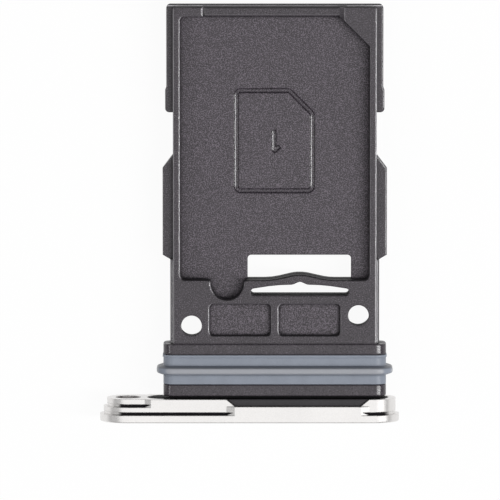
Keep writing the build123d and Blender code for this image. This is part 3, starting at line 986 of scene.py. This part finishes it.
def sign_cutters(carrier, material):
    """What is cut from each pocket floor: the card sign and the pocket's number."""
    tree = sign_tree()
    section = line_object("groove_section", groove_section(carrier), closed=True)
    middle = Matrix.Translation((
        centre_line / MM + carrier.sign_middle[0] / MM, carrier.sign_middle[1] / MM, pocket_floor / MM))
    centred = Matrix.Translation((centre_line / MM, 0, 0))
    under = centred @ Matrix.Rotation(math.pi, 4, "Y") @ centred.inverted()
    turned = Matrix.Rotation(math.pi, 4, "Z")
    cutters = []
    for digit, face in (("1", Matrix.Identity(4)), ("2", under)):
        outline = line_object("sign_outline", sign_outline(carrier), closed=True)
        strokes = line_object("digit", digit_strokes(digit, carrier.digit_height / MM), closed=False)
        for line, stroke, place in (
                (outline, 1.0, face @ middle), (strokes, carrier.digit_stroke, face @ middle @ turned)):
            cutter = run_tree(
                tree, {"Line": line, "Section": section, "Stroke": stroke, "Material": material})
            cutter.transform(place)
            cutters.append(cutter)
            bpy.data.objects.remove(line)
    bpy.data.objects.remove(section)
    return cutters


def cut_carrier(carrier, material):
    """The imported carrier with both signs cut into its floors."""
    mesh = frame["nodes"]["tray"].data.copy()
    if "custom_normal" in mesh.attributes:
        mesh.attributes.remove(mesh.attributes["custom_normal"])
    mesh.materials.clear()
    mesh.transform(Matrix.Scale(MM_PER_METRE, 4))
    clean_mesh(mesh, MERGE_DISTANCE)
    holder = bpy.data.objects.new("carrier_blank", mesh)
    bpy.context.scene.collection.objects.link(holder)
    tools = bpy.data.collections.new("sign_cutters")
    for cutter in sign_cutters(carrier, material):
        clean_mesh(cutter, MERGE_DISTANCE)
        tools.objects.link(bpy.data.objects.new("sign_cutter", cutter))
    bpy.context.scene.collection.children.link(tools)
    boolean = holder.modifiers.new("signs", "BOOLEAN")
    boolean.operation = "DIFFERENCE"
    boolean.operand_type = "COLLECTION"
    boolean.collection = tools
    boolean.solver = "EXACT"
    cut = evaluated_mesh(holder)
    for tool in list(tools.objects):
        bpy.data.objects.remove(tool)
    bpy.data.collections.remove(tools)
    bpy.data.objects.remove(holder)
    join_flat_faces(cut)
    cut.transform(Matrix.Scale(MM, 4))
    cut.materials.clear()
    return cut


def seal_section(seal):
    """Section of the seal: X outwards from the neck, Y along the tray from the band's middle."""
    half_band = (seal_high.y - seal_low.y) / 2
    near_root = seal.bead_offset - seal.bead_root / 2
    far_root = seal.bead_offset + seal.bead_root / 2
    near_tip = seal.bead_offset - seal.bead_tip / 2
    far_tip = seal.bead_offset + seal.bead_tip / 2
    lip_start = half_band - seal.lip_width
    return [
        (-seal.wall, half_band, 0.0),
        (-seal.wall, -half_band, 0.0),
        (0.0, -half_band, seal.edge_radius),
        (0.0, near_root, seal.root_radius),
        (seal.bead_height, near_tip, seal.tip_radius),
        (seal.bead_height, far_tip, seal.tip_radius),
        (0.0, far_root, seal.root_radius),
        (0.0, lip_start, seal.edge_radius),
        (seal.lip_height, lip_start + seal.lip_height, seal.edge_radius),
        (seal.lip_height, half_band, seal.edge_radius),
    ]


def seal_tree():
    """Seal: its section swept round a rounded rectangle, stood up across the tray."""
    tree = new_tree("seal_sweep", {
        "Section": "NodeSocketObject",
        "Width": "NodeSocketFloat",
        "Height": "NodeSocketFloat",
        "Corner Radius": "NodeSocketFloat",
        "Middle": "NodeSocketVector",
        "Material": "NodeSocketMaterial",
    })
    given = add_node(tree, "NodeGroupInput").outputs
    section = rounded_line(tree, given["Section"], SECTION_STEPS)
    neck = add_node(
        tree, "GeometryNodeCurvePrimitiveQuadrilateral", {"mode": "RECTANGLE"},
        {"Width": given["Width"], "Height": given["Height"]})
    path = add_node(
        tree, "GeometryNodeFilletCurve", {"mode": "POLY"},
        {"Curve": neck.outputs["Curve"], "Count": NECK_STEPS, "Radius": given["Corner Radius"]})
    ring = sweep_path(tree, path.outputs["Curve"], section, 1.0)
    stood = add_node(
        tree, "GeometryNodeTransform", {},
        {"Geometry": ring.outputs["Mesh"], "Translation": given["Middle"],
         "Rotation": (math.pi / 2, 0.0, 0.0)})
    end_tree(tree, stood.outputs["Geometry"], given["Material"])
    return tree


class SIMTRAY_OT_carrier(bpy.types.Operator):
    """Cuts the card signs into the carrier and gives it its moulded finish"""

    bl_idname = "simtray.carrier"
    bl_label = "Carrier"

    def execute(self, context):
        carrier = context.scene.simtray_carrier
        material = moulded_plastic(carrier)
        mesh = soften(cut_carrier(carrier, material), CARRIER_SHARP_ANGLE)
        place_piece(mesh, "carrier", material, "tray")
        return {"FINISHED"}


class SIMTRAY_OT_seal(bpy.types.Operator):
    """Sweeps the silicone seal round the neck"""

    bl_idname = "simtray.seal"
    bl_label = "Seal"

    def execute(self, context):
        seal = context.scene.simtray_seal
        material = silicone(seal)
        section = line_object("seal_section", seal_section(seal), closed=True)
        mesh = run_tree(seal_tree(), {
            "Section": section,
            "Width": seal_high.x - seal_low.x - 2 * seal.bead_height,
            "Height": seal_high.z - seal_low.z - 2 * seal.bead_height,
            "Corner Radius": seal.corner_radius,
            "Middle": (centre_line, seal_middle, (seal_low.z + seal_high.z) / 2),
            "Material": material,
        })
        bpy.data.objects.remove(section)
        clean_mesh(mesh, MERGE_DISTANCE * MM)
        mesh = soften(mesh, SEAL_SHARP_ANGLE)
        place_piece(mesh, "seal_ring", material, "seal")
        return {"FINISHED"}


class SIMTRAY_OT_cap(bpy.types.Operator):
    """Gives the end cap its blasted finish"""

    bl_idname = "simtray.cap"
    bl_label = "End cap"

    def execute(self, context):
        cap = frame["nodes"]["front_cap"]
        material = blasted_aluminium(context.scene.simtray_cap)
        cap.data.materials.clear()
        cap.data.materials.append(material)
        return {"FINISHED"}


def floor_material(stage):
    """Pale floor that the camera sees as white, with the tray's shadow kept."""
    material, place = new_material("white_floor")
    path = place.tree.nodes.new("ShaderNodeLightPath")
    seen = Shade(place.tree, path.outputs["Is Camera Ray"])
    for ray in ("Is Glossy Ray", "Is Transmission Ray"):
        seen = largest(seen, Shade(place.tree, path.outputs[ray]))
    plain = place.add(
        "ShaderNodeBsdfDiffuse", {}, {"Color": opaque(stage.floor_colour)})
    white = place.add("ShaderNodeEmission", {}, {"Color": (1, 1, 1, 1), "Strength": 1.0})
    shown = place.add(
        "ShaderNodeMixShader", {},
        {"Fac": seen * stage.floor_glow, "Shader": plain, "Shader_001": white})
    clear = place.add("ShaderNodeBsdfTransparent")
    behind = place.add("ShaderNodeNewGeometry", {}, {}, "Backfacing")
    set_surface(place.add(
        "ShaderNodeMixShader", {}, {"Fac": behind, "Shader": shown, "Shader_001": clear}))
    return material


def add_floor(stage):
    """Square floor just under the tray."""
    half = stage.floor_size / 2
    mesh = bpy.data.meshes.new("floor")
    corners = [(-half, -half, ground), (half, -half, ground), (half, half, ground), (-half, half, ground)]
    mesh.from_pydata(corners, [], [(0, 1, 2, 3)])
    mesh.materials.append(floor_material(stage))
    floor = bpy.data.objects.new("floor", mesh)
    bpy.context.scene.collection.objects.link(floor)
    return floor


def set_sky(stage):
    """Soft light from all round: a pale surrounding, less bright overhead."""
    world = bpy.data.worlds.new("studio")
    world.use_nodes = True
    tree = world.node_tree
    tree.nodes.clear()
    direction = Shade(tree, tree.nodes.new("ShaderNodeTexCoord").outputs["Generated"])
    height = direction.part("Z")
    strength = stage.sky_side + height.ramp(*SKY_RISE) * (stage.sky_top - stage.sky_side)
    light = direction.add("ShaderNodeBackground", {}, {"Color": (1, 1, 1, 1), "Strength": strength})
    output = tree.nodes.new("ShaderNodeOutputWorld")
    tree.links.new(light.socket, output.inputs["Surface"])
    bpy.context.scene.world = world


def add_softbox(name, place, size, brightness, target):
    """Rectangular soft light at a place, facing its target. Brightness 1 is that of a white card."""
    light = bpy.data.lights.new(name, "AREA")
    light.shape = "RECTANGLE"
    light.size, light.size_y = size
    light.energy = brightness * math.pi * size[0] * size[1]
    lamp = bpy.data.objects.new(name, light)
    lamp.location = place
    lamp.rotation_euler = (Vector(target) - Vector(place)).to_track_quat("-Z", "Y").to_euler()
    lamp.visible_camera = False
    bpy.context.scene.collection.objects.link(lamp)
    return lamp


def light_only(lamp, pieces):
    """Lets a lamp shine on those pieces alone."""
    lit = bpy.data.collections.new(f"{lamp.name}_lit")
    for piece in pieces:
        lit.objects.link(piece)
    lamp.light_linking.receiver_collection = lit


def add_camera(stage):
    """Camera above the tray, leaning past straight down so that its far walls show."""
    data = bpy.data.cameras.new("camera")
    data.sensor_width = SENSOR_WIDTH
    data.lens = data.sensor_width * stage.camera_distance / stage.view_width
    data.clip_start = stage.camera_distance / 10
    data.clip_end = stage.floor_size
    camera = bpy.data.objects.new("camera", data)
    lean = stage.camera_tilt
    camera.location = (
        stage.view_middle[0],
        stage.view_middle[1] + stage.camera_distance * math.sin(lean),
        stage.camera_distance * math.cos(lean),
    )
    camera.rotation_euler = (-lean, 0.0, 0.0)
    bpy.context.scene.collection.objects.link(camera)
    bpy.context.scene.camera = camera


class SIMTRAY_OT_stage(bpy.types.Operator):
    """Adds the white floor, the soft lights and the camera"""

    bl_idname = "simtray.stage"
    bl_label = "Stage"

    def execute(self, context):
        stage = context.scene.simtray_stage
        target = (*stage.view_middle, 0.0)
        floor = add_floor(stage)
        set_sky(stage)
        groups = {
            "dark": [bpy.data.objects["carrier"], bpy.data.objects["seal_ring"], floor],
            "metal": [frame["nodes"]["front_cap"]],
        }
        for name, (place, size, brightness, group) in SOFTBOXES.items():
            lamp = add_softbox(name, place, size, brightness, target)
            if group:
                light_only(lamp, groups[group])
        add_camera(stage)
        context.scene.view_settings.view_transform = "Standard"
        return {"FINISHED"}


class SIMTRAY_PT_panel(bpy.types.Panel):
    """Lists the tray's pieces and their settings"""

    bl_label = "SIM Card Tray"
    bl_idname = "SIMTRAY_PT_panel"
    bl_space_type = "VIEW_3D"
    bl_region_type = "UI"
    bl_category = "SIM Tray"

    def draw(self, context):
        for operator, settings in PIECES.items():
            box = self.layout.box()
            box.operator(operator)
            group = getattr(context.scene, settings)
            for name in group.__annotations__:
                box.prop(group, name)


PIECES = {
    "simtray.carrier": "simtray_carrier",
    "simtray.seal": "simtray_seal",
    "simtray.cap": "simtray_cap",
    "simtray.stage": "simtray_stage",
}
SETTINGS = {
    "simtray_carrier": CarrierSettings,
    "simtray_seal": SealSettings,
    "simtray_cap": CapSettings,
    "simtray_stage": StageSettings,
}
CLASSES = (
    *SETTINGS.values(),
    SIMTRAY_OT_carrier,
    SIMTRAY_OT_seal,
    SIMTRAY_OT_cap,
    SIMTRAY_OT_stage,
    SIMTRAY_PT_panel,
)


def register():
    for cls in CLASSES:
        bpy.utils.register_class(cls)
    for name, group in SETTINGS.items():
        setattr(bpy.types.Scene, name, bpy.props.PointerProperty(type=group))


def unregister():
    for name in SETTINGS:
        delattr(bpy.types.Scene, name)
    for cls in reversed(CLASSES):
        bpy.utils.unregister_class(cls)


def main():
    """Registers the classes and makes every piece in order."""
    register()
    bpy.ops.simtray.carrier()
    bpy.ops.simtray.seal()
    bpy.ops.simtray.cap()
    bpy.ops.simtray.stage()


if __name__ == "__main__":
    main()
